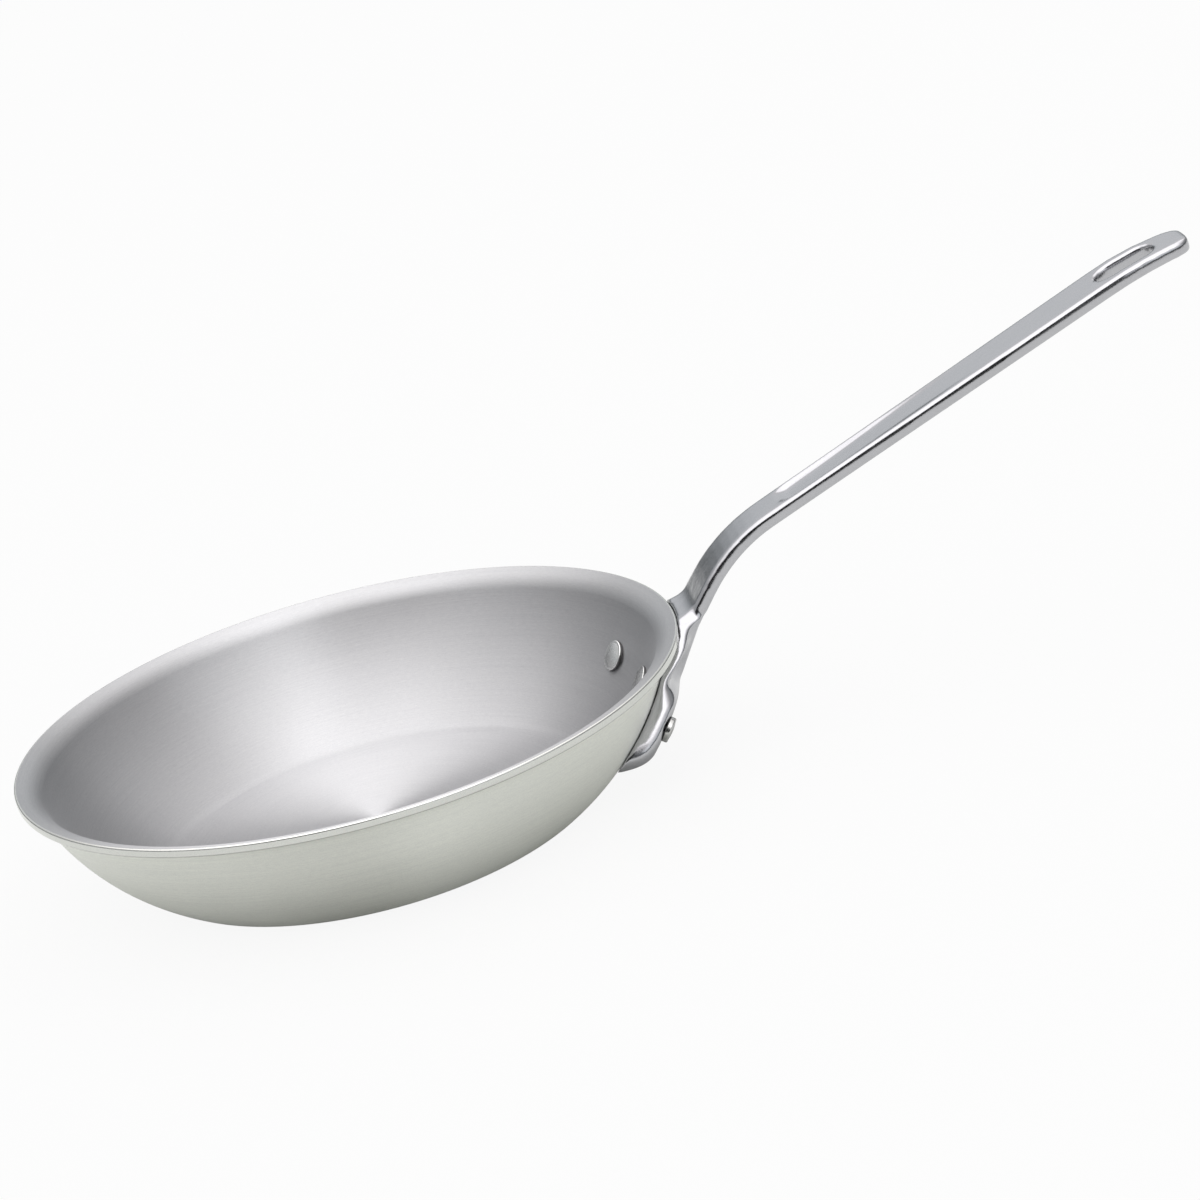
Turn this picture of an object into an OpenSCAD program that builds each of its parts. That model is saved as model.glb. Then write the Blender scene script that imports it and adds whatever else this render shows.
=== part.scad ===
// Omelette pan: a spun aluminium bowl with a flared rim and a cast aluminium
// handle, held to the outside of the wall by three solid rivets in one row.
// The origin is the centre of the base's underside, +Z is up and the handle
// points along +X. All sizes are in millimetres and angles in degrees.

/* [Pan body] */
// Outer diameter of the rim
rim_d = 240; // [200:5:300]
// Height from the underside of the base to the top of the rim
pan_h = 50; // [42:1:60]
// Outer diameter of the flat base, where the wall's curve begins
base_d = 157; // [130:1:180]
// Radius of the wall's outward curve, on its outside
wall_arc_r = 84; // [78:1:130]
// Thickness of the spun sheet
wall_t = 3.2; // [2:0.1:4]
// Radius of the turn from the underside of the base into the wall
base_turn_r = 12; // [4:1:18]
// Radius of the turn from the inside of the wall onto the rim's lip
lip_turn_r = 8; // [5:0.5:9]
// Width of the lip, from the rim's edge to where the wall's curve would end
lip_w = 4.8; // [4:0.2:9]
// Upward slope of the lip towards its edge
lip_rise = 10; // [0:1:16]
// Height of the turned edge face of the rim
edge_h = 3.2; // [2:0.1:4]

/* [Handle bar] */
// Slope of the neck where it leaves the rim
neck_angle = 50.5; // [40:0.5:58]
// Slope of the straight grip
grip_angle = 20.9; // [12:0.1:30]
// Slope of the neck's outer face below rim height, down to its foot
root_angle = 58.7; // [52:0.1:66]
// Gap between the rim's edge and the top face of the neck, at rim height
neck_gap = 3.1; // [1.5:0.1:6]
// Length of the neck from rim height to the corner of the bend
neck_len = 29.4; // [26:0.2:45]
// Length from the corner of the bend to the tip of the grip
grip_len = 193.2; // [140:0.2:240]
// Radius of the bend on the top face
bend_r = 66; // [30:1:72]
// Width of the neck above its foot
neck_w = 26; // [20:0.5:30]
// Width of the bar at its narrowest, just past the bend
waist_w = 20.6; // [18:0.2:26]
// Width of the grip beside the hanging slot
grip_w = 23.5; // [20:0.5:32]
// Width of the grip's end, before it is rounded
tip_w = 20.4; // [16:0.2:28]
// Thickness of the neck
neck_t = 5.1; // [4:0.1:7]
// Thickness of the grip
grip_t = 5.2; // [4:0.1:6.4]
// Radius of the long edges of the bar
bar_edge_r = 1.5; // [0.8:0.1:1.8]
// Length of the rounded end of the grip
tip_round = 8.5; // [6:0.5:11]
// Length of the grip's end that dips gently
dip_len = 33; // [20:1:60]
// Angle by which the end of the grip dips
dip_angle = 14.5; // [0:0.5:20]

/* [Thumb scoop] */
// Distance of the scoop's rounded start from the corner of the bend
scoop_start = 23.5; // [18:0.5:60]
// Length over which the scoop runs out
scoop_len = 92; // [40:1:110]
// Depth of the scoop near its start
scoop_depth = 1.5; // [0.5:0.1:2]
// Width of the border left on each side of the scoop
scoop_border = 2.4; // [2:0.1:6]

/* [Hanging slot] */
// Length of the slot, between its rounded ends
slot_len = 23; // [16:0.5:50]
// Width of the slot
slot_w = 12; // [8:0.2:13]
// Distance from the tip of the grip to the middle of the slot
slot_from_tip = 23.5; // [20:0.5:60]
// Radius of the rounded edge of both mouths of the slot
slot_lip = 1.3; // [0.6:0.1:1.6]

/* [Handle foot] */
// Width of the foot across its lower corners
foot_w = 96; // [90:1:110]
// Width of the foot at rim height
foot_top_w = 32; // [30:1:50]
// Bow of the foot's sides, where 1 is straight
foot_bow = 1.3; // [1:0.1:1.6]
// Height of the foot's lower edge above the base's underside
foot_z = 12; // [8:0.5:16]
// Radius of the foot's lower corners
foot_corner_r = 9; // [4:0.5:12]
// Thickness of the pads that carry the rivets
pad_t = 7.8; // [6:0.2:10]
// Height above the base up to which the pads keep their thickness
pad_z = 28; // [24:0.5:32]
// Height over which the pads run out into the web above them
pad_rise = 9; // [6:0.5:14]
// Thickness of the web between the pads and the rim
web_t = 2.6; // [1.5:0.1:4]
// Radius of the pads' lower edge
pad_edge_r = 3; // [2:0.5:5]
// Radius of the foot's side edges, where it is thick enough
foot_side_r = 4; // [1:0.5:6]
// Width of the hollow curve from the neck's side down to the web
web_sweep = 8; // [5:0.5:10]
// Clearance between the casting and the pan
seat_gap = 0.12; // [0.1:0.02:0.3]

/* [Rivets] */
// Distance of the outer rivets from the handle's middle, inside the wall
rivet_side = 33; // [28:0.5:34]
// Height of the rivets' axes at the inside of the wall
rivet_z = 27.6; // [24:0.2:32]
// Diameter of the shanks
shank_d = 5.6; // [4:0.1:6.4]
// Diameter of the low heads inside the pan
inner_head_d = 11.4; // [9:0.1:13]
// Height of the inner heads
inner_head_h = 1.7; // [1.2:0.1:2.4]
// Diameter of the button heads outside
outer_head_d = 9.2; // [8:0.1:11]
// Height of the button heads
outer_head_h = 2.6; // [2:0.1:3.2]
// Depth of the flat seats for the button heads, below the pads' faces
spot_depth = 0.5; // [0.4:0.1:1]
// Width of the seats' border round the button heads
spot_border = 0.6; // [0.4:0.1:1]
// Clearance of the shanks and heads
rivet_gap = 0.06; // [0.04:0.01:0.15]

/* [Hidden] */
$fn = 96;
// Rivets in the row, one node each
rivet_count = 3;
rim_r = rim_d / 2;
// Turning step of the curves that are drawn as short runs
arc_step = 3;
turn_step = 9;
// Overlap that carries a cut past the face it opens
past = 1;

// The wall's curve runs from the base's edge to the root of the lip.
base_pt = [base_d / 2, 0];
lip_pt = [rim_r - lip_w, pan_h - edge_h];
chord = lip_pt - base_pt;
chord_n = [-chord.y, chord.x] / norm(chord);
wall_c = (base_pt + lip_pt) / 2
    + chord_n * sqrt(pow(wall_arc_r, 2) - pow(norm(chord) / 2, 2));

// Top line of the lip, through the rim's upper corner
lip_u = [cos(lip_rise), sin(lip_rise)];
lip_n = [-sin(lip_rise), cos(lip_rise)];
edge_pt = [rim_r, pan_h];

// Centre of the lip's turn, which touches the lip's top and the inside wall
function turn_centre(line_pt, r, reach) =
    let (w = line_pt - lip_n * r - wall_c, along = w * lip_u)
    wall_c + w - lip_u * (along - sqrt(reach * reach - w * w + along * along));
lip_c = turn_centre(edge_pt, lip_turn_r, wall_arc_r - wall_t + lip_turn_r);

// Centre of the base's turn, which touches the underside and the outside wall
base_c = let (drop = wall_c.y - base_turn_r, reach = wall_arc_r - base_turn_r)
    [wall_c.x + sqrt(reach * reach - drop * drop), base_turn_r];

function angle_of(v) = atan2(v.y, v.x);
a_low = angle_of(base_c - wall_c);
a_top = angle_of(lip_c - wall_c);

function arc(c, r, from, to, step) =
    let (n = max(1, ceil(abs(to - from) / step)))
    [for (i = [0 : n]) let (a = from + (to - from) * i / n) c + r * [cos(a), sin(a)]];

// Outside of the pan from the middle of the base to the rim's edge, moved out by g
function outside(g) = concat(
    [[0, -g]],
    arc(base_c, base_turn_r + g, -90, a_low, turn_step),
    arc(wall_c, wall_arc_r + g, a_low + arc_step, a_top, arc_step),
    arc(lip_c, lip_turn_r - wall_t - g, a_top + 180, 90 + lip_rise, turn_step),
    [[rim_r + g, pan_h - edge_h - g]]);

// Inside of the pan from the rim's edge to the middle of the floor
function inside_line() = concat(
    [edge_pt],
    arc(lip_c, lip_turn_r, 90 + lip_rise, a_top + 180, turn_step),
    arc(wall_c, wall_arc_r - wall_t, a_top - arc_step, a_low, arc_step),
    arc(base_c, base_turn_r - wall_t, a_low - turn_step, -90, turn_step),
    [[0, wall_t]]);

// Radius of the wall's curve at height z, moved out by t along its normal
function wall_r(z, t = 0) =
    wall_c.x + sqrt(max(0, pow(wall_arc_r + t, 2) - pow(wall_c.y - z, 2)));

// Downward tilt of the rivets, which stand square to the wall, the distance from
// the inside of the wall to the flat seats on the pads, and the seats' upper edge
rivet_step = asin(rivet_side / wall_r(rivet_z, -wall_t));
rivet_a = asin((wall_c.y - rivet_z) / (wall_arc_r - wall_t));
rivet_grip = wall_t + pad_t - spot_depth;
seat_r = outer_head_d / 2 + spot_border;
seat_top = rivet_z - rivet_grip * sin(rivet_a) + seat_r * cos(rivet_a);

// Blends: an S curve, a straight mix and a quarter round
function ease(k) = let (c = min(1, max(0, k))) c * c * (3 - 2 * c);
function mix(a, b, k) = a + (b - a) * k;
function bow(k) = sqrt(max(0, 1 - k * k));

// Half width of the foot at height z, with its rounded lower corners and shoulders
shoulder = (foot_top_w - neck_w) / 3;
function foot_half(z) =
    mix(foot_w, foot_top_w, pow((z - foot_z) / (pan_h - foot_z), foot_bow)) / 2
    - foot_corner_r * (1 - bow(max(0, 1 - (z - foot_z) / foot_corner_r)))
    - shoulder * (1 - bow(max(0, 1 - (pan_h - z) / shoulder)));

// Thickness of the foot at height z: pads below, web above, eased lower edge
function foot_t(z) =
    mix(pad_t, web_t, ease((z - pad_z) / pad_rise))
    - pad_edge_r * (1 - bow(max(0, 1 - (z - foot_z) / pad_edge_r)));

// Radius that the foot follows: the wall's curve, then out round the rim's edge
lip_under = pan_h - edge_h;
function foot_r(z) =
    mix(wall_r(z, foot_t(z)), rim_r + seat_gap + foot_t(z),
        ease((z - lip_under) / (4 * edge_h) + 1));

// Top face of the neck and bar, and their directions
neck_u = [cos(neck_angle), sin(neck_angle)];
grip_u = [cos(grip_angle), sin(grip_angle)];
neck_pt = [rim_r + neck_gap, pan_h];
bend_pt = neck_pt + neck_u * neck_len;
// The bend takes at most this share of the neck
bend_share = 0.8;
bend_turn = neck_angle - grip_angle;
bend_tan = min(bend_r * tan(bend_turn / 2), bend_share * neck_len);
bend_arc = bend_tan / tan(bend_turn / 2) * bend_turn * PI / 180;
neck_run = neck_len - bend_tan;
bar_len = neck_run + bend_arc + grip_len - bend_tan;

// Slope and place of the top face at distance s along it from rim height
dip_from = bar_len - dip_len;
dip_r = dip_len * 180 / PI / max(0.01, dip_angle);
function slope(s) = neck_angle
    - bend_turn * min(1, max(0, (s - neck_run) / bend_arc))
    - dip_angle * max(0, s - dip_from) / dip_len;
function turned(from, u, r, s) =
    let (a = s / r * 180 / PI)
    from + r * sin(a) * u + r * (1 - cos(a)) * [u.y, -u.x];
function top_pt(s) =
    s < neck_run ? neck_pt + neck_u * s
    : s < neck_run + bend_arc
        ? turned(neck_pt + neck_u * neck_run, neck_u, bend_arc / bend_turn * 180 / PI,
            s - neck_run)
    : s < dip_from ? bend_pt + grip_u * (s - neck_run - bend_arc + bend_tan)
    : turned(bend_pt + grip_u * (dip_from - neck_run - bend_arc + bend_tan),
        grip_u, dip_r, s - dip_from);

grip_from = neck_run + bend_arc;
slot_at = bar_len - slot_from_tip;
function bar_w(s) = s < grip_from
    ? mix(neck_w, waist_w, ease(s / grip_from))
    : s < slot_at ? mix(waist_w, grip_w, ease((s - grip_from) / (slot_at - grip_from)))
    : mix(grip_w, tip_w, ease((s - slot_at) / (slot_from_tip - tip_round)));
function bar_t(s) = mix(neck_t, grip_t, ease((s - neck_run) / bend_arc));

// Depth of the scoop at distance s, rounded at its start and running out, with the
// length of its rounded start and the share of its width that it starts with
scoop_turn = 9;
scoop_nose = 0.4;
scoop_from = grip_from - bend_tan + scoop_start;
function scoop_fade(s) =
    ease((s - scoop_from) / (2 * scoop_border)) * (1 - ease((s - scoop_from) / scoop_len));

// Rib of the neck on the foot's outer face, which grows out above the middle seat,
// and the hollow sweep from its side down to the web
rib_rise = 6;
sweep_power = 2.2;
function rib_x(z) =
    let (knee = min(z, lip_under),
         line = neck_pt.x + neck_t / sin(neck_angle)
            + (max(z, lip_under) - pan_h) / tan(neck_angle)
            + (knee - lip_under) / tan(root_angle))
    max(0, line - foot_r(z)) * ease((z - seat_top) / rib_rise);
function sweep(y) =
    let (k = (abs(y) - neck_w / 2) / web_sweep)
    k <= 0 ? 1 : k >= 1 ? 0 : pow(1 - k, sweep_power);

// Rings run over the outer face from one side to the other, then back inside.
// Half a ring is a list of [out, across] pairs from the middle of the outer face
// round the side to the middle of the inner face.
rib_share = [0, 0.3, 0.6, 0.85, 1];
sweep_share = [0.12, 0.28, 0.5, 0.75, 1];
side_share = [0.35, 0.7, 1];
back_share = [1, 0.9, 0.78, 0.62, 0.42, 0.2, 0];
edge_turns = 4;
face_n = len(rib_share) + len(sweep_share) + len(side_share) + edge_turns;
half_n = face_n + len(back_share);

function whole(half) = concat(
    [for (i = [face_n - 1 : -1 : 0]) [half[i].x, -half[i].y]],
    [for (i = [1 : half_n - 1]) half[i]],
    [for (i = [half_n - 2 : -1 : face_n]) [half[i].x, -half[i].y]]);

// A ring stood at o in the side view, its out direction tilted down by tilt
function stand(half, o, tilt) =
    [for (p = whole(half)) [o.x + p.x * cos(tilt), p.y, o.y - p.x * sin(tilt)]];

// Foot at height z, a level section whose outer face follows the wall
function foot_edge(z) = min(foot_side_r, foot_t(z) * 0.6);
function foot_out(z, y) =
    let (e = foot_edge(z), k = max(0, (y - foot_half(z) + e) / e),
         r = foot_r(z) - e * (1 - bow(k)))
    sqrt(r * r - y * y) + rib_x(z) * sweep(y);
function foot_across(z) =
    let (h = foot_half(z), e = foot_edge(z), b = neck_w / 2,
         w = min(web_sweep, (h - b - e) * 0.7))
    concat(
        [for (k = rib_share) b * k],
        [for (k = sweep_share) b + w * k],
        [for (k = side_share) mix(b + w, h - e, k)],
        [for (i = [1 : edge_turns]) h - e * (1 - sin(90 * i / edge_turns))]);
function foot_ring(z) =
    let (h = foot_half(z), back = min(wall_r(z), rim_r) - past)
    stand(concat(
        [for (y = foot_across(z)) [foot_out(z, y), y]],
        [for (k = back_share) [sqrt(pow(back, 2) - pow(k * h, 2)), k * h]]), [0, z], 0);

// Bar at distance s, a square section of half width a with rounded edges
function bar_ring(s, a, drop = 0) =
    let (r = bar_edge_r, t = bar_t(s) - drop, d = scoop_depth * scoop_fade(s),
         wide = a - scoop_border,
         b = s < scoop_from ? wide
             : wide * mix(scoop_nose, 1, bow(max(0, 1 - (s - scoop_from) / wide))),
         floor_w = b - min(1.5 * scoop_depth, b / 2))
    stand(concat(
        [for (k = rib_share) [t, (a - r) * k]],
        [for (k = sweep_share) [t - r + r * cos(90 * k), a - r + r * sin(90 * k)]],
        [for (k = side_share) [mix(t - r, drop + r, k), a]],
        [for (i = [1 : edge_turns]) let (q = 90 * i / edge_turns)
            [drop + r - r * sin(q), a - r + r * cos(q)]],
        [[drop, max(b, floor_w)], [drop + d * 0.8, mix(floor_w, b, 0.45)]],
        [for (k = [1, 0.78, 0.5, 0.25, 0]) [drop + d, floor_w * k]]),
        top_pt(s), 90 - slope(s));

// Rings between the foot's top and the bar: the wings sweep in to the neck
sweep_end = min(6, 0.9 * neck_run);
neck_rings = 8;
function neck_ring(k) =
    let (low = foot_ring(pan_h), high = bar_ring(sweep_end, bar_w(sweep_end) / 2),
         fast = 1 - pow(1 - k, 1.8), u = neck_u, v = [neck_u.y, -neck_u.x])
    [for (i = [0 : len(low) - 1])
        let (p = [low[i].x, low[i].z] - neck_pt, q = [high[i].x, high[i].z] - neck_pt,
             along = mix(p * u, q * u, k), off = mix(p * v, q * v, fast),
             c = neck_pt + u * along + v * off)
        [c.x, mix(low[i].y, high[i].y, fast), c.y]];

function spaced(from, to, n) = [for (i = [1 : n]) from + (to - from) * i / n];
levels = concat(
    [for (q = [0 : 15 : 90]) foot_z + foot_corner_r * (1 - cos(q))],
    spaced(foot_z + foot_corner_r, pad_z, 3),
    spaced(pad_z, pad_z + pad_rise, 9),
    spaced(pad_z + pad_rise, lip_under, 5),
    [for (q = [30 : 20 : 90]) lip_under + edge_h * sin(q)]);
stations = concat(
    spaced(sweep_end, neck_run, 1),
    spaced(neck_run, grip_from, 9),
    spaced(grip_from, scoop_from, 1),
    [for (q = [15 : 15 : 90]) scoop_from + scoop_turn * (1 - cos(q))],
    spaced(scoop_from + scoop_turn, bar_len - tip_round, 17));
// Turns of the rounded tip, whose last part also eases off the top face
tip_turns = [16, 31, 45, 57, 67, 75, 81, 85];
tip_power = 0.65;
tip_least = bar_edge_r + 0.2;
tip_ease = 0.9;
tip_ease_power = 24;

bar_rings = concat(
    [for (z = levels) foot_ring(z)],
    [for (i = [1 : neck_rings]) neck_ring(i / neck_rings)],
    [for (s = stations) bar_ring(s, bar_w(s) / 2)],
    [for (q = tip_turns) let (s = bar_len - tip_round * (1 - sin(q)))
        bar_ring(s, mix(tip_least, bar_w(s) / 2, pow(cos(q), tip_power)),
            tip_ease * pow(sin(q), tip_ease_power))]);

// A closed skin over a row of rings, with strips across its two ends
module skin(rings) {
    n = len(rings[0]);
    last = len(rings) - 1;
    wide = 2 * face_n - 2;
    back = n - wide - 2;
    function mate(i) = round(i * back / wide);
    function inner(b) = n - 1 - b;
    ends = [for (i = [0 : wide - 1]) [i, i + 1, inner(mate(i))],
            for (i = [0 : wide - 1]) if (mate(i + 1) > mate(i))
                [i + 1, inner(mate(i + 1)), inner(mate(i))]];
    polyhedron(
        points = [for (ring = rings) each ring],
        faces = concat(
            ends,
            [for (f = ends) [for (i = [2 : -1 : 0]) f[i] + last * n]],
            [for (i = [0 : last - 1], j = [0 : n - 1])
                let (k = (j + 1) % n) each [
                    [i * n + j, (i + 1) * n + j, (i + 1) * n + k],
                    [i * n + j, (i + 1) * n + k, i * n + k]]]),
        convexity = 10);
}

// Frame on the bar's top face at distance s, +X towards the tip, +Z off the face
module on_bar(s) {
    o = top_pt(s);
    translate([o.x, 0, o.y]) rotate([0, -slope(s), 0]) children();
}

// What a rounded edge of radius r takes off beside a wall standing at x = w
module round_off(w, r) {
    difference() {
        translate([w - r / 2, -r]) square([1.5 * r, r + past]);
        translate([w + r, -r]) circle(r, $fn = 40);
    }
}

module slot() {
    reach = (slot_len - slot_w) / 2;
    on_bar(slot_at) {
        for (x = [-reach, reach])
            translate([x, 0, -grip_t - past]) cylinder(d = slot_w, h = grip_t + 2 * past);
        translate([-reach, -slot_w / 2, -grip_t - past])
            cube([2 * reach, slot_w, grip_t + 2 * past]);
        for (m = [0, 1])
            translate([0, 0, m ? -grip_t : 0]) mirror([0, 0, m]) {
                for (x = [-reach, reach])
                    translate([x, 0, 0]) rotate_extrude($fn = 48)
                        round_off(slot_w / 2, slot_lip);
                for (side = [0, 1])
                    mirror([0, side, 0]) translate([-reach, 0, 0]) rotate([90, 0, 90])
                        linear_extrude(2 * reach) round_off(slot_w / 2, slot_lip);
            }
    }
}

// Frame of rivet i: origin on the inside of the wall, +Z outwards through it
module at_rivet(i) {
    rotate([0, 0, (i - (rivet_count - 1) / 2) * rivet_step])
        translate([wall_r(rivet_z, -wall_t), 0, rivet_z])
            rotate([0, 90 + rivet_a, 0]) children();
}

module rivet_holes() {
    for (i = [0 : rivet_count - 1]) at_rivet(i)
        translate([0, 0, -pad_t]) cylinder(d = shank_d + 2 * rivet_gap, h = 4 * pad_t);
}
module rivet_seats() {
    for (i = [0 : rivet_count - 1]) at_rivet(i)
        translate([0, 0, rivet_grip])
            cylinder(r = seat_r, h = outer_head_h + 2 * pad_t);
}

module pan_body() {
    color("lightgray")
    difference() {
        rotate_extrude() polygon(concat(outside(0), inside_line()));
        rivet_holes();
    }
}

module handle() {
    color("silver")
    difference() {
        skin(bar_rings);
        rotate_extrude() polygon(concat(outside(seat_gap),
            [[rim_r + seat_gap, 2 * pan_h], [0, 2 * pan_h]]));
        slot();
        rivet_holes();
        rivet_seats();
    }
}

// A rivet: low dome pressed onto the inside of the wall, shank, and a button head
// on its seat
shank_bite = 0.2;
module dome(d, h, below = 0) {
    rim = h / 3;
    r = (pow(d / 2, 2) + pow(h - rim, 2)) / (2 * (h - rim));
    intersection() {
        translate([0, 0, -below]) cylinder(d = d, h = h + below);
        translate([0, 0, h - r]) sphere(r);
    }
}
module rivet(i) {
    color("gainsboro") {
        intersection() {
            at_rivet(i) mirror([0, 0, 1]) dome(inner_head_d, inner_head_h, past);
            rotate_extrude() polygon(concat(inside_line(),
                [[0, 2 * pan_h], [rim_r, 2 * pan_h]]));
        }
        at_rivet(i) {
            translate([0, 0, -shank_bite])
                cylinder(d = shank_d, h = rivet_grip + rivet_gap + 2 * shank_bite);
            translate([0, 0, rivet_grip + rivet_gap]) dome(outer_head_d, outer_head_h);
        }
    }
}
module rivet_left() { rivet(2); }
module rivet_center() { rivet(1); }
module rivet_right() { rivet(0); }

pan_body();
handle();
rivet_left();
rivet_center();
rivet_right();
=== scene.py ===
import bpy
import bmesh
import math
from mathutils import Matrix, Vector


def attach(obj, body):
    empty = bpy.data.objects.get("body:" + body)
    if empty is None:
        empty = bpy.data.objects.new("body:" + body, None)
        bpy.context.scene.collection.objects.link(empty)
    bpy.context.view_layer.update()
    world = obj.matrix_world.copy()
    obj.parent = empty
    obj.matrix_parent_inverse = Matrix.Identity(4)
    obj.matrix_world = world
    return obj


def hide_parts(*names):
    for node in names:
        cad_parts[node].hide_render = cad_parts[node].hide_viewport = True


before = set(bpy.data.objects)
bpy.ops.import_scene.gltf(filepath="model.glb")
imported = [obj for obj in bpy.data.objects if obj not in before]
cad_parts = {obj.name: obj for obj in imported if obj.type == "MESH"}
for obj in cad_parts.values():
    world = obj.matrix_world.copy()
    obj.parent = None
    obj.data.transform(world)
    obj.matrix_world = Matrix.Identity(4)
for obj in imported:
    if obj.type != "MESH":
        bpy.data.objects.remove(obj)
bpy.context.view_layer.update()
scene = bpy.context.scene
mm = 0.001


# Pan body. One disc of thick aluminium sheet, spun over a former into a shallow bowl
# with a flared lip, then turned along its edge. The inside and the outside keep the
# fine rings that the spinning tool and the scouring pad left, all round the axis.
rim_radius, pan_height = 120.0, 50.0
base_radius = 78.5
wall_radius, sheet = 84.0, 3.2
base_turn, lip_turn = 12.0, 8.0
lip_width, lip_rise, edge_face = 4.8, math.radians(10), 3.2
upper_ease, lower_ease = 0.7, 1.0
down, up = -math.pi / 2, math.pi / 2


def along(angle, length):
    return Vector((math.cos(angle), math.sin(angle))) * length


def arc(centre, radius, start, end, step):
    """Points on an arc, one every so many degrees, with both ends."""
    count = max(1, math.ceil(abs(end - start) / math.radians(step)))
    return [centre + along(start + (end - start) * i / count, radius)
            for i in range(count + 1)]


def line(start, end, step):
    """Points between the two ends of a straight, one every so many millimetres."""
    count = max(1, round((end - start).length / step))
    return [start.lerp(end, i / count) for i in range(1, count)]


# The wall's arc passes through the edge of the base and the underside of the rim
foot_of_wall = Vector((base_radius, 0))
head_of_wall = Vector((rim_radius - lip_width, pan_height - edge_face))
chord = head_of_wall - foot_of_wall
square = Vector((-chord.y, chord.x)).normalized()
wall_centre = ((foot_of_wall + head_of_wall) / 2
               + square * math.sqrt(wall_radius ** 2 - (chord.length / 2) ** 2))

# The lip's turn meets the wall's inside and the slope that runs to the rim
lip_run, lip_up = along(lip_rise, 1), along(lip_rise + up, 1)
rim = Vector((rim_radius, pan_height))
between_centres = wall_radius - sheet + lip_turn
offset = rim - lip_up * lip_turn - wall_centre
slide = offset.dot(lip_run) - math.sqrt(
    between_centres ** 2 - offset.length_squared + offset.dot(lip_run) ** 2)
lip_centre = wall_centre + offset - lip_run * slide
base_centre = Vector((wall_centre.x + math.sqrt(
    (wall_radius - base_turn) ** 2 - (wall_centre.y - base_turn) ** 2), base_turn))
low = math.atan2(*reversed(base_centre - wall_centre))
high = math.atan2(*reversed(lip_centre - wall_centre))

outside = ([Vector((0, 0))] + line(Vector((0, 0)), Vector((base_centre.x, 0)), step=4)
           + arc(base_centre, base_turn, down, low, step=2)
           + arc(wall_centre, wall_radius, low, high, step=1)[1:]
           + arc(lip_centre, lip_turn - sheet, high + math.pi, up + lip_rise, step=5)[1:])
edge = (arc(Vector((rim_radius - lower_ease, pan_height - edge_face + lower_ease)),
            lower_ease, down, 0, step=10)
        + arc(Vector((rim_radius - upper_ease, pan_height - upper_ease)),
              upper_ease, 0, up + lip_rise, step=12))
inside = (arc(lip_centre, lip_turn, up + lip_rise, high + math.pi, step=3)
          + arc(wall_centre, wall_radius - sheet, high, low, step=1)[1:]
          + arc(base_centre, base_turn - sheet, low, down, step=2)[1:])
inside += line(inside[-1], Vector((0, sheet)), step=4) + [Vector((0, sheet))]


def chain(name, points):
    """A mesh of edges from point to point, in the plane of the axis and a radius."""
    mesh = bpy.data.meshes.new(name)
    mesh.from_pydata([(p.x * mm, 0, p.y * mm) for p in points],
                     [(i, i + 1) for i in range(len(points) - 1)], [])
    return mesh


def input_value(tree, name, kind, value=None):
    """Adds a named input to a Geometry Nodes tree and returns its identifier."""
    socket = tree.interface.new_socket(name, in_out="INPUT", socket_type=kind)
    if value is not None:
        socket.default_value = value
    return socket.identifier


def put(tree, kind, settings=None, **wires):
    """Adds a node, sets its properties and fills or wires its sockets by name or number."""
    node = tree.nodes.new(kind)
    for name, value in (settings or {}).items():
        setattr(node, name, value)
    for name, value in wires.items():
        number = name[1:]
        socket = node.inputs[int(number) if number.isdigit() else name.replace("_", " ")]
        if isinstance(value, bpy.types.NodeSocket):
            tree.links.new(value, socket)
        else:
            socket.default_value = value
    return node


def calc(tree, operation, a, b=0.0, c=0.0):
    return put(tree, "ShaderNodeMath", {"operation": operation}, _0=a, _1=b, _2=c).outputs[0]


def split(tree, vector):
    return put(tree, "ShaderNodeSeparateXYZ", Vector=vector).outputs


def join(tree, x=0.0, y=0.0, z=0.0):
    return put(tree, "ShaderNodeCombineXYZ", X=x, Y=y, Z=z).outputs[0]


def from_axis(tree, xyz):
    """Distance from the pan's axis."""
    return calc(tree, "SQRT", calc(tree, "ADD", calc(tree, "MULTIPLY", xyz["X"], xyz["X"]),
                                   calc(tree, "MULTIPLY", xyz["Y"], xyz["Y"])))


def mottle(tree, place, scale, detail, roughness):
    return put(tree, "ShaderNodeTexNoise", Vector=place, Scale=scale, Detail=detail,
               Roughness=roughness).outputs["Fac"]


def spread(tree, value, width, middle=0.0):
    """Turns a value from 0 to 1 into one of this width round this middle."""
    return calc(tree, "MULTIPLY_ADD", value, width, middle - width / 2)


def multiplied(tree, first, second):
    return put(tree, "ShaderNodeMixRGB", {"blend_type": "MULTIPLY"}, Fac=1.0,
               Color1=first, Color2=second).outputs[0]


def metal(name):
    """A new metallic material, with its tree and shader."""
    material = bpy.data.materials.new(name)
    material.use_nodes = True
    shader = material.node_tree.nodes["Principled BSDF"]
    shader.inputs["Metallic"].default_value = 1.0
    return material, material.node_tree, shader


def surface(tree, shader, colour, rgb, rough, height, depth):
    """Wires a colour times its tone, the roughness and the relief."""
    shade = put(tree, "ShaderNodeCombineColor", Red=rgb[0], Green=rgb[1], Blue=rgb[2])
    relief = put(tree, "ShaderNodeBump", Strength=1.0, Distance=depth, Height=height)
    tree.links.new(multiplied(tree, (*colour, 1), shade.outputs[0]),
                   shader.inputs["Base Color"])
    tree.links.new(rough, shader.inputs["Roughness"])
    tree.links.new(relief.outputs[0], shader.inputs["Normal"])


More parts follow.
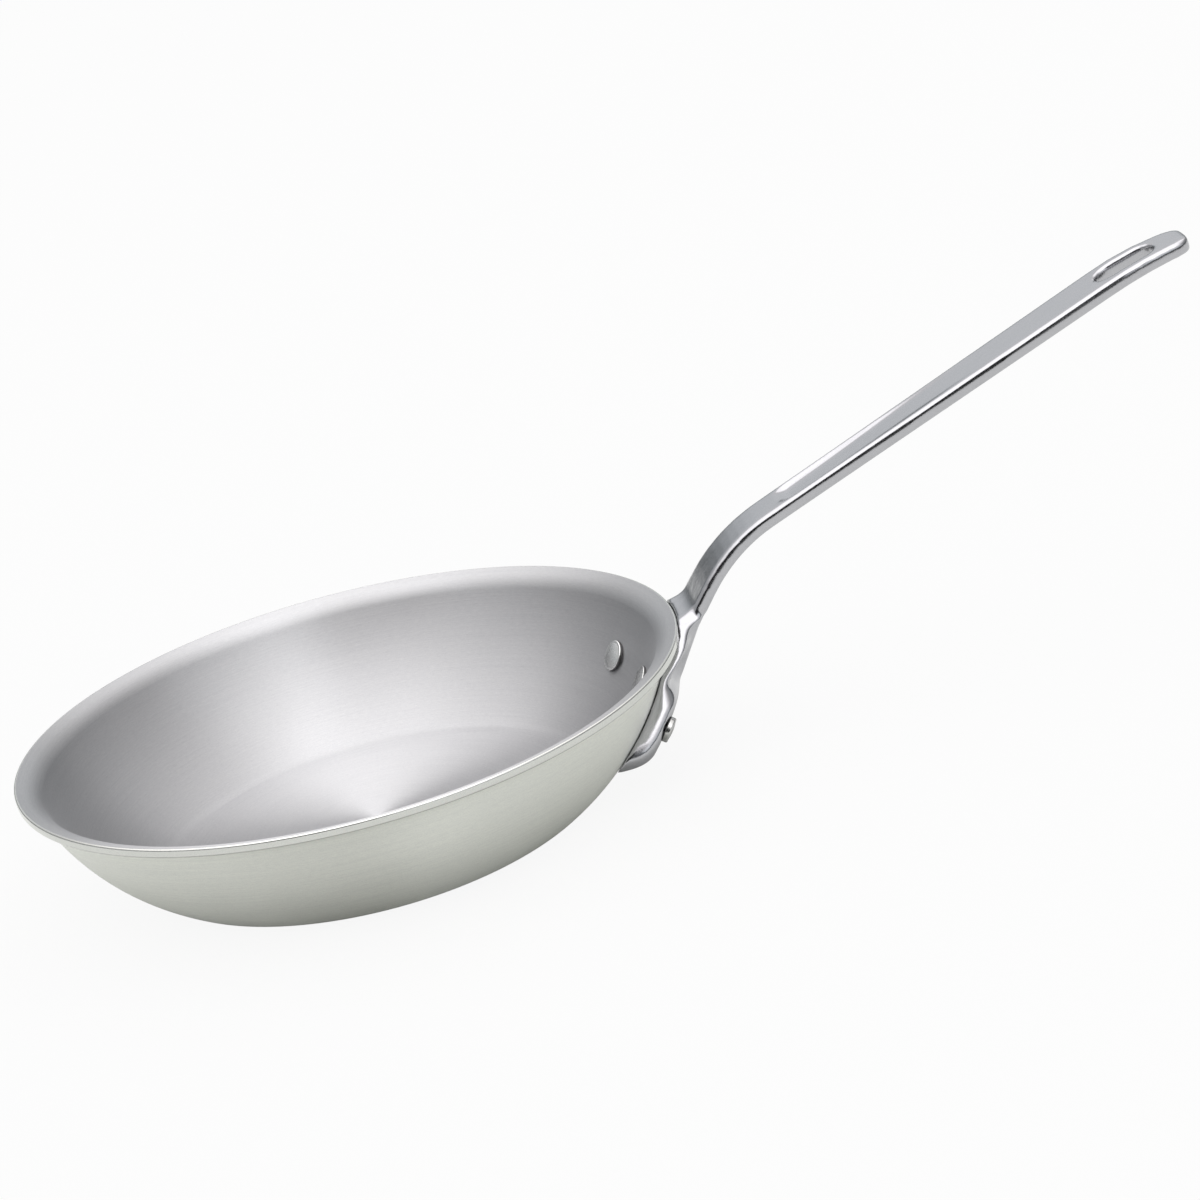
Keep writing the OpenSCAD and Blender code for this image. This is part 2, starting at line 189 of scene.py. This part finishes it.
def spun_metal(name, colour, roughness, ring_gap, ring_depth, cloud, streak, pull=0.9):
    """Aluminium with fine rings round the pan's axis, and cloudy, streaky wear."""
    material, tree, shader = metal(name)
    place = put(tree, "ShaderNodeTexCoord").outputs["Object"]
    xyz = split(tree, place)
    across = calc(tree, "ADD", from_axis(tree, xyz), xyz["Z"])
    turn = calc(tree, "ARCTAN2", xyz["Y"], xyz["X"])
    # Rings and grain: tight steps across the wall, and long slow changes round it
    ring_place = join(tree, calc(tree, "MULTIPLY", across, 1 / ring_gap),
                      calc(tree, "MULTIPLY", turn, 1.6), xyz["Z"])
    rings = mottle(tree, ring_place, scale=1.0, detail=4.0, roughness=0.75)
    grain_place = join(tree, calc(tree, "MULTIPLY", across, 2600.0),
                       calc(tree, "MULTIPLY", turn, 40.0))
    grain = mottle(tree, grain_place, scale=1.0, detail=3.0, roughness=0.6)
    clouds = mottle(tree, place, scale=26.0, detail=5.0, roughness=0.55)
    specks = mottle(tree, place, scale=2300.0, detail=2.0, roughness=0.6)
    tone = calc(tree, "ADD", spread(tree, rings, streak), spread(tree, clouds, cloud))
    tone = calc(tree, "ADD", tone, spread(tree, specks, 0.2))
    tone = calc(tree, "ADD", tone, spread(tree, grain, streak))
    plain = calc(tree, "ADD", tone, 1.0)
    bluish = calc(tree, "MULTIPLY_ADD", tone, 0.9, 1.0)
    rough = calc(tree, "ADD", spread(tree, rings, 0.1, middle=roughness),
                 spread(tree, clouds, 0.1))
    surface(tree, shader, colour, (plain, plain, bluish), rough,
            height=calc(tree, "ADD", rings, calc(tree, "MULTIPLY", grain, 0.5)),
            depth=ring_depth)
    # The rings pull each highlight out into a spoke from the axis
    spoke = put(tree, "ShaderNodeVectorMath", {"operation": "NORMALIZE"},
                _0=join(tree, xyz["X"], xyz["Y"]))
    tree.links.new(spoke.outputs[0], shader.inputs["Tangent"])
    shader.inputs["Anisotropic"].default_value = pull
    return material


# The inside's colour, darker than the outside's on the one aluminium sheet, is painted shade
# inside the bowl
inside_finish = spun_metal("spun_inside_painted_shade", (0.54, 0.54, 0.55), roughness=0.46, ring_gap=0.0009,
                           ring_depth=0.000012, cloud=0.1, streak=0.26)
outside_finish = spun_metal("spun_outside", (0.84, 0.85, 0.8), roughness=0.46, ring_gap=0.0011,
                            ring_depth=0.000012, cloud=0.08, streak=0.2)
edge_finish = spun_metal("turned_edge", (0.62, 0.625, 0.6), roughness=0.2, ring_gap=0.0011,
                         ring_depth=0.000004, cloud=0.06, streak=0.1, pull=0.3)


def marked(tree, piece, given, zones):
    """Sets the finish of each zone that the lathe noted, from the given inputs."""
    zone = put(tree, "GeometryNodeInputNamedAttribute", {"data_type": "FLOAT"}, Name="zone")
    for name, level in zones:
        piece = put(tree, "GeometryNodeSetMaterial", Geometry=piece, Material=given[name],
                    Selection=calc(tree, "GREATER_THAN", zone.outputs[0], level)).outputs[0]
    return piece


# The lathe turns the section once round the axis and closes the seam and both poles
lathe = bpy.data.node_groups.new("lathe", "GeometryNodeTree")
lathe.interface.new_socket("Section", in_out="INPUT", socket_type="NodeSocketGeometry")
lathe.interface.new_socket("Turned", in_out="OUTPUT", socket_type="NodeSocketGeometry")
turns_id = input_value(lathe, "Turns", "NodeSocketInt", 240)
edge_id = input_value(lathe, "First Edge Point", "NodeSocketInt", 0)
inside_id = input_value(lathe, "First Inside Point", "NodeSocketInt", 0)
outside_finish_id = input_value(lathe, "Outside Finish", "NodeSocketMaterial")
edge_finish_id = input_value(lathe, "Edge Finish", "NodeSocketMaterial")
inside_finish_id = input_value(lathe, "Inside Finish", "NodeSocketMaterial")
given = lathe.nodes.new("NodeGroupInput").outputs
points = put(lathe, "GeometryNodeAttributeDomainSize",
             Geometry=given["Section"]).outputs["Point Count"]
sheet_of_points = put(lathe, "GeometryNodeMeshGrid", Size_X=1.0, Size_Y=1.0, Vertices_X=points,
                      Vertices_Y=calc(lathe, "ADD", given["Turns"], 1.0)).outputs["Mesh"]
spot = split(lathe, put(lathe, "GeometryNodeInputPosition").outputs[0])
step = calc(lathe, "ROUND", calc(lathe, "MULTIPLY", calc(lathe, "ADD", spot["X"], 0.5),
                                 calc(lathe, "SUBTRACT", points, 1.0)))
around = calc(lathe, "MULTIPLY", calc(lathe, "ADD", spot["Y"], 0.5), math.tau)
past_edge, past_inside = [
    calc(lathe, "GREATER_THAN", step, calc(lathe, "SUBTRACT", given[name], 0.5))
    for name in ("First Edge Point", "First Inside Point")]
turned = put(lathe, "GeometryNodeStoreNamedAttribute", {"data_type": "FLOAT"}, Name="zone",
             Geometry=sheet_of_points,
             Value=calc(lathe, "ADD", past_edge, past_inside)).outputs[0]
read = put(lathe, "GeometryNodeSampleIndex", {"data_type": "FLOAT_VECTOR"},
           Geometry=given["Section"], Index=step)
lathe.links.new(put(lathe, "GeometryNodeInputPosition").outputs[0], read.inputs["Value"])
drawn = split(lathe, read.outputs[0])
new_place = join(lathe, calc(lathe, "MULTIPLY", drawn["X"], calc(lathe, "COSINE", around)),
                 calc(lathe, "MULTIPLY", drawn["X"], calc(lathe, "SINE", around)), drawn["Z"])
turned = put(lathe, "GeometryNodeSetPosition", Geometry=turned, Position=new_place).outputs[0]
turned = put(lathe, "GeometryNodeMergeByDistance", Geometry=turned,
             Distance=0.01 * mm).outputs[0]
turned = put(lathe, "GeometryNodeFlipFaces", Mesh=turned).outputs[0]
turned = put(lathe, "GeometryNodeSetShadeSmooth", Geometry=turned).outputs[0]
turned = put(lathe, "GeometryNodeRealizeInstances", Geometry=turned).outputs[0]
turned = put(lathe, "GeometryNodeSetMaterial", Geometry=turned,
             Material=given["Outside Finish"]).outputs[0]
turned = marked(lathe, turned, given, (("Edge Finish", 0.6), ("Inside Finish", 1.6)))
lathe.links.new(turned, lathe.nodes.new("NodeGroupOutput").inputs[0])


def plain_mesh(piece):
    """The piece's mesh with its modifiers run, ready to stand on its own."""
    bpy.context.view_layer.update()
    graph = bpy.context.evaluated_depsgraph_get()
    return bpy.data.meshes.new_from_object(piece.evaluated_get(graph))


def made(name, mesh, tree, values):
    """Runs a Geometry Nodes tree on a mesh and returns the result as a plain piece."""
    piece = bpy.data.objects.new(name, mesh)
    scene.collection.objects.link(piece)
    modifier = piece.modifiers.new("make", "NODES")
    modifier.node_group = tree
    for identifier, value in values.items():
        modifier[identifier] = value
    result = plain_mesh(piece)
    piece.modifiers.clear()
    piece.data = result
    return piece


pan = made("spun_pan", chain("pan_section", outside + edge + inside), lathe, {
    turns_id: 360, edge_id: len(outside), inside_id: len(outside) + len(edge) - 1,
    outside_finish_id: outside_finish, edge_finish_id: edge_finish,
    inside_finish_id: inside_finish})
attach(pan, "root")
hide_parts("pan_body")


# Handle. One aluminium casting, tumbled after it leaves the mould, so that every edge
# is softly rounded and shines while the faces stay a little dull and uneven. Its foot
# lies on the outside of the wall and under the lip.
same_point, skin_cell, tumbling_passes = 0.002, 0.54, 14

handle = bpy.data.objects.new("cast_handle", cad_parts["handle"].data.copy())
scene.collection.objects.link(handle)
work = bmesh.new()
work.from_mesh(handle.data)
bmesh.ops.remove_doubles(work, verts=work.verts, dist=same_point * mm)
work.to_mesh(handle.data)
work.free()
skin = handle.modifiers.new("skin", "REMESH")
skin.mode = "VOXEL"
skin.voxel_size = skin_cell * mm
skin.use_smooth_shade = True
tumbled = handle.modifiers.new("tumbled", "SMOOTH")
tumbled.factor = 0.5
tumbled.iterations = tumbling_passes
eased = plain_mesh(handle)
handle.modifiers.clear()
handle.data = eased


def cast_metal(name, colour, roughness):
    """Tumbled casting: uneven sheen and a faint grain left by the mould."""
    material, tree, shader = metal(name)
    place = put(tree, "ShaderNodeTexCoord").outputs["Object"]
    broad = mottle(tree, place, scale=140.0, detail=4.0, roughness=0.6)
    fine = mottle(tree, place, scale=1500.0, detail=3.0, roughness=0.6)
    tone = calc(tree, "ADD", spread(tree, broad, 0.14, middle=1.0), spread(tree, fine, 0.18))
    rough = calc(tree, "ADD", spread(tree, broad, 0.16, middle=roughness),
                 spread(tree, fine, 0.08))
    surface(tree, shader, colour, (tone, tone, tone), rough, depth=0.00001,
            height=calc(tree, "ADD", calc(tree, "MULTIPLY", broad, 6.0), fine))
    return material


handle.data.materials.clear()
handle.data.materials.append(cast_metal("cast_aluminium", (0.46, 0.46, 0.48), roughness=0.18))
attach(handle, "root")
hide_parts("handle")


# Rivets. Three solid aluminium rivets in one row. The press left a low round head
# inside the pan, and a duller button head on the flat seat of each pad. The inner
# head's pale colour is a painted highlight, and the near-black round its rim is painted shade.
rivet_height, rivet_side, rivet_grip = 27.6, 33.0, 10.5
inner_width, inner_rise, inner_sink = 11.4, 1.7, 0.2
button_width, button_rise = 9.2, 2.6
shank, seat_play = 5.6, 0.06
crown_rise = 0.34
tool_mark = ((0.3, 0.04), (0.5, 0.08), (0.75, 0.0))
painted_shade_shoulder_points = 4


def head(width, rise, foot, rim_ease, shoulder_ease):
    """Half outline of a pressed head: its undercut rim, and its shoulder and crown."""
    half = width / 2
    seat = [Vector((half - rim_ease * 0.9, foot))]
    seat += arc(Vector((half - rim_ease, rim_ease)), rim_ease, down, 0, step=15)
    face = arc(Vector((half - shoulder_ease, rise - shoulder_ease - crown_rise)),
               shoulder_ease, 0, math.radians(66), step=12)
    face += [Vector((half - shoulder_ease - inward, rise - crown_rise - deep))
             for inward, deep in tool_mark]
    crown_radius = face[-1].x
    face += [Vector((crown_radius * k / 9, rise - crown_rise * (k / 9) ** 2))
             for k in range(8, -1, -1)]
    return seat, face


inner_seat, inner_face = head(inner_width, inner_rise, -inner_sink, 0.5, 0.45)
button_seat, button_face = head(button_width, button_rise, 0, 0.45, 0.7)
button_foot = rivet_grip + seat_play
rivet_outline = (
    [Vector((p.x, -p.y)) for p in reversed(inner_seat + inner_face)]
    + [Vector((shank / 2, inner_sink)), Vector((shank / 2, button_foot))]
    + [Vector((p.x, button_foot + p.y)) for p in button_seat + button_face])

# The row sets copies of one turned rivet on the wall, each square to it
row = bpy.data.node_groups.new("rivet_row", "GeometryNodeTree")
row.interface.new_socket("Outline", in_out="INPUT", socket_type="NodeSocketGeometry")
row.interface.new_socket("Rivets", in_out="OUTPUT", socket_type="NodeSocketGeometry")
count_id = input_value(row, "Count", "NodeSocketInt", 3)
radius_id = input_value(row, "Radius At Wall", "NodeSocketFloat", 0.1)
height_id = input_value(row, "Height", "NodeSocketFloat", 0.02)
angle_id = input_value(row, "Angle Between", "NodeSocketFloat", 0.3)
tilt_id = input_value(row, "Tilt Down", "NodeSocketFloat", 0.5)
head_finish_id = input_value(row, "Inner Head Finish", "NodeSocketMaterial")
shade_rim_finish_id = input_value(row, "Painted Shade Rim Finish", "NodeSocketMaterial")
button_finish_id = input_value(row, "Button Finish", "NodeSocketMaterial")
shade_rim_id = input_value(row, "First Painted Shade Point", "NodeSocketInt", 0)
button_id = input_value(row, "First Button Point", "NodeSocketInt", 0)
given = row.nodes.new("NodeGroupInput").outputs
rivet = put(row, "GeometryNodeGroup", {"node_tree": lathe}, Section=given["Outline"], Turns=64,
            First_Edge_Point=given["First Painted Shade Point"],
            First_Inside_Point=given["First Button Point"]).outputs[0]
which = calc(row, "SUBTRACT", put(row, "GeometryNodeInputIndex").outputs[0],
             calc(row, "MULTIPLY_ADD", given["Count"], 0.5, -0.5))
swing = calc(row, "MULTIPLY", which, given["Angle Between"])
spot = join(row, calc(row, "MULTIPLY", given["Radius At Wall"], calc(row, "COSINE", swing)),
            calc(row, "MULTIPLY", given["Radius At Wall"], calc(row, "SINE", swing)),
            given["Height"])
places = put(row, "GeometryNodePoints", Count=given["Count"]).outputs[0]
places = put(row, "GeometryNodeSetPosition", Geometry=places, Position=spot).outputs[0]
facing = join(row, y=calc(row, "ADD", given["Tilt Down"], up), z=swing)
rivets = put(row, "GeometryNodeInstanceOnPoints", Points=places, Instance=rivet,
             Rotation=facing).outputs[0]
rivets = put(row, "GeometryNodeRealizeInstances", Geometry=rivets).outputs[0]
rivets = put(row, "GeometryNodeSetMaterial", Geometry=rivets,
             Material=given["Inner Head Finish"]).outputs[0]
rivets = marked(row, rivets, given, (("Painted Shade Rim Finish", 0.6), ("Button Finish", 1.4)))
row.links.new(rivets, row.nodes.new("NodeGroupOutput").inputs[0])

inner_wall = wall_radius - sheet
drop = wall_centre.y - rivet_height
wall_at_rivet = wall_centre.x + math.sqrt(inner_wall ** 2 - drop ** 2)
rivets = made("set_rivets", chain("rivet_outline", rivet_outline), row, {
    count_id: 3, radius_id: wall_at_rivet * mm, height_id: rivet_height * mm,
    angle_id: math.asin(rivet_side / wall_at_rivet), tilt_id: math.asin(drop / inner_wall),
    # Painted highlight: the inner head's pale colour stands in for a bright reflection on its
    # dome
    head_finish_id: cast_metal("head_painted_highlight", (0.8, 0.8, 0.79), roughness=0.27),
    # Painted shade: near-black on the inner head's shoulder, round both rims, on the shank and
    # on the button's seat
    shade_rim_finish_id: cast_metal("rivet_rim_painted_shade", (0.15, 0.15, 0.15), roughness=0.3),
    button_finish_id: cast_metal("dull_button", (0.54, 0.54, 0.53), roughness=0.24),
    shade_rim_id: len(inner_face) - painted_shade_shoulder_points,
    button_id: len(rivet_outline) - len(button_face)})
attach(rivets, "root")
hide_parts("rivet_left", "rivet_center", "rivet_right")


# Studio. A pale floor, a white surround with a dark card behind the camera, one large
# soft lamp above and a weak one behind. The camera looks down across the pan, with the
# handle to its right.
floor_half = 9
pale_grey = (0.9, 0.9, 0.9, 1)
white = (1, 1, 1, 1)

floor_mesh = bpy.data.meshes.new("floor")
floor_mesh.from_pydata([(x * floor_half, y * floor_half, 0)
                        for x, y in ((-1, -1), (1, -1), (1, 1), (-1, 1))], [], [(0, 1, 2, 3)])
floor = bpy.data.objects.new("floor", floor_mesh)
scene.collection.objects.link(floor)


def ramp(tree, value, low, high, start, end):
    """Goes smoothly from start to end while the value goes from low to high."""
    return put(tree, "ShaderNodeMapRange", {"interpolation_type": "SMOOTHSTEP"}, Value=value,
               From_Min=low, From_Max=high, To_Min=start, To_Max=end).outputs[0]


def seen_in_metal(tree, rays):
    return calc(tree, "MAXIMUM", rays["Is Glossy Ray"], rays["Is Transmission Ray"])


# The metal sees the floor end in front of the pan, and a painted shadow on the floor under it
pale = bpy.data.materials.new("pale_floor")
pale.use_nodes = True
tree = pale.node_tree
paint = tree.nodes["Principled BSDF"]
paint.inputs["Roughness"].default_value = 0.9
paint.inputs["Specular IOR Level"].default_value = 0.0
rays = put(tree, "ShaderNodeLightPath").outputs
in_metal = seen_in_metal(tree, rays)
floor_place = split(tree, put(tree, "ShaderNodeTexCoord").outputs["Object"])
front_end = ramp(tree, floor_place["Y"], -1.1, -0.8, 0.04, 1.0)
# Painted shadow: for the metal's rays the floor darkens within about 0.17 m of the pan's axis
painted_shadow_under_pan = ramp(tree, from_axis(tree, floor_place), 0.07, 0.17, 0.4, 1.18)
shade = put(tree, "ShaderNodeMix", {"data_type": "FLOAT"}, _0=in_metal, _2=1.0,
            _3=calc(tree, "MULTIPLY", front_end, painted_shadow_under_pan)).outputs[0]
warm = put(tree, "ShaderNodeMixRGB", Fac=in_metal, Color1=white,
           Color2=(0.985, 1.0, 0.955, 1)).outputs[0]
glow = put(tree, "ShaderNodeEmission", Color=warm, Strength=shade).outputs[0]
tree.links.new(multiplied(tree, pale_grey, shade), paint.inputs["Base Color"])
glow_share = calc(tree, "ADD", calc(tree, "MULTIPLY", rays["Is Camera Ray"], 0.9),
                  calc(tree, "MULTIPLY", in_metal, 0.3))
blend = put(tree, "ShaderNodeMixShader", _0=glow_share, _1=paint.outputs[0], _2=glow)
tree.links.new(blend.outputs[0], tree.nodes["Material Output"].inputs["Surface"])
floor.data.materials.append(pale)

# The surround is plain white to the camera; the metal mirrors a ceiling that darkens
# to the sides and low down, a window to the front right and the dark card
world = bpy.data.worlds.new("surround")
scene.world = world
world.use_nodes = True
tree = world.node_tree
tree.nodes.clear()
rays = put(tree, "ShaderNodeLightPath").outputs
way = split(tree, put(tree, "ShaderNodeTexCoord").outputs["Generated"])

strips = put(tree, "ShaderNodeValToRGB", Fac=calc(tree, "MULTIPLY_ADD", way["X"], 0.5, 0.5))
strips.color_ramp.interpolation = "EASE"
for place, level in ((-0.95, 0.45), (-0.7, 0.85), (-0.45, 1.0), (-0.2, 1.0), (0.0, 1.0),
                     (0.22, 1.0), (0.5, 0.8), (0.8, 0.55), (0.98, 0.4)):
    stop = strips.color_ramp.elements.new(place / 2 + 0.5)
    stop.color = (level, level, level, 1)
strips.color_ramp.elements.remove(strips.color_ramp.elements[-1])
strips.color_ramp.elements.remove(strips.color_ramp.elements[0])
sides = calc(tree, "MULTIPLY", ramp(tree, way["X"], 0.12, 0.7, 1.0, 0.5),
             ramp(tree, way["X"], -0.8, -0.15, 0.62, 1.0))
wall_light = calc(tree, "MULTIPLY", sides, ramp(tree, way["Z"], 0.06, 0.33, 0.22, 0.95))
ceiling = calc(tree, "ADD", wall_light, calc(
    tree, "MULTIPLY", strips.outputs["Color"], ramp(tree, way["Z"], 0.48, 0.76, 0.0, 1.2)))
window = calc(tree, "MULTIPLY", ramp(tree, way["X"], 0.14, 0.3, 0.0, 0.5),
              ramp(tree, way["Y"], -0.5, -0.25, 1.0, 0.0))
window = calc(tree, "MULTIPLY", window, ramp(tree, way["Z"], 0.05, 0.2, 0.0, 1.0))
slant = calc(tree, "MULTIPLY_ADD", way["Y"], 0.8, way["Z"])
card_top = calc(tree, "MULTIPLY", ramp(tree, slant, -0.12, 0.06, 1.0, 0.0),
                ramp(tree, way["X"], 0.0, 0.14, 1.0, 0.0))
card = calc(tree, "MULTIPLY", ramp(tree, way["Y"], -0.8, -0.6, 0.97, 0.0), card_top)
strength = calc(tree, "MULTIPLY", calc(tree, "ADD", ceiling, window),
                calc(tree, "SUBTRACT", 1.0, card))
tint = put(tree, "ShaderNodeMixRGB", Fac=ramp(tree, way["Z"], 0.1, 0.6, 0.0, 1.0),
           Color1=(0.92, 0.97, 1.0, 1), Color2=(1, 0.985, 0.985, 1)).outputs[0]
room_light = put(tree, "ShaderNodeBackground", Color=white, Strength=0.8).outputs[0]
mirrored = put(tree, "ShaderNodeBackground", Color=tint, Strength=strength).outputs[0]
backdrop = put(tree, "ShaderNodeBackground", Color=white, Strength=1.0).outputs[0]
mixed = put(tree, "ShaderNodeMixShader", _0=seen_in_metal(tree, rays), _1=room_light,
            _2=mirrored).outputs[0]
mixed = put(tree, "ShaderNodeMixShader", _0=rays["Is Camera Ray"], _1=mixed,
            _2=backdrop).outputs[0]
tree.links.new(mixed, tree.nodes.new("ShaderNodeOutputWorld").inputs["Surface"])


def lamp(name, place, aim, size, power):
    data = bpy.data.lights.new(name, "AREA")
    data.shape = "DISK"
    data.size = size
    data.energy = power
    piece = bpy.data.objects.new(name, data)
    piece.location = place
    piece.rotation_euler = (Vector(aim) - Vector(place)).to_track_quat("-Z", "Y").to_euler()
    scene.collection.objects.link(piece)


lamp("soft_top", place=(0.05, -0.45, 1.8), aim=(0.05, 0, 0.03), size=2.4, power=3.6)
lamp("soft_back", place=(1.3, 1.3, 1.2), aim=(0, 0, 0.03), size=0.9, power=0.5)

camera = bpy.data.cameras.new("camera")
camera.lens = 114
camera.sensor_width = 36
camera.clip_end = 50
eye = bpy.data.objects.new("camera", camera)
eye.location = (0.04416, -1.26459, 0.49374)
eye.rotation_euler = [math.radians(angle) for angle in (70.5996, 13.1819, -6.9161)]
scene.collection.objects.link(eye)
scene.camera = eye
scene.view_settings.view_transform = "Standard"
